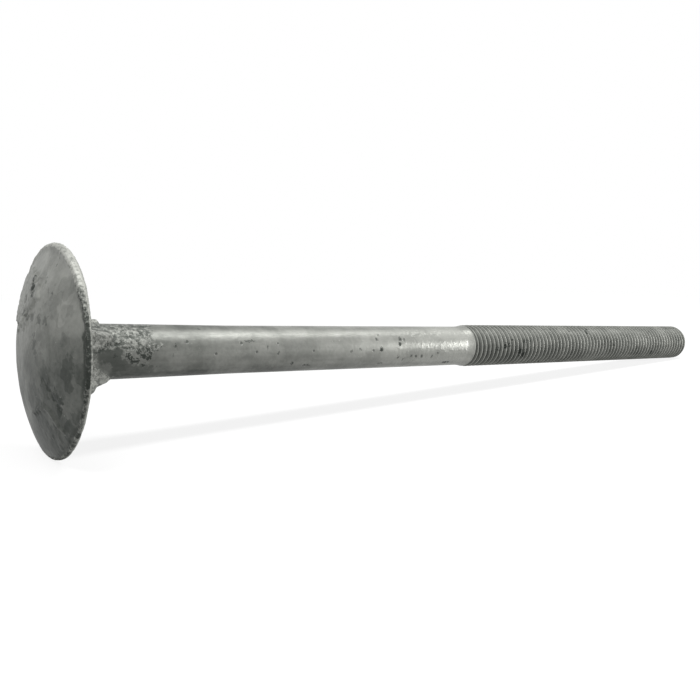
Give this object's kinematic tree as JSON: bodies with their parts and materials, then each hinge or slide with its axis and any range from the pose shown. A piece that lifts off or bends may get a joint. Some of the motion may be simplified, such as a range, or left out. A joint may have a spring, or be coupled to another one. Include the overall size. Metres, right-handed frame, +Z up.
{
  "type": "dome head timber bolt",
  "caption": "Galvanised timber bolt with a wide dome head, fins under the head and a machine-threaded end that carries a nut.",
  "frame": {"origin": "middle of the bounding box, on the ground that the bolt lies on", "axes": "+X from the head towards the threaded end, +Z up; the bolt lies at rest on the edge of its head and on its last thread, so its axis slopes down 3.8 degrees towards the end"},
  "size_m": [0.3126, 0.0564, 0.0563],
  "materials": {
    "galvanised_steel": "hot-dip galvanised, dull grey with blotches and zinc lumps"
  },
  "bodies": {
    "root": {"bolt": "galvanised_steel"}
  },
  "joints": []
}
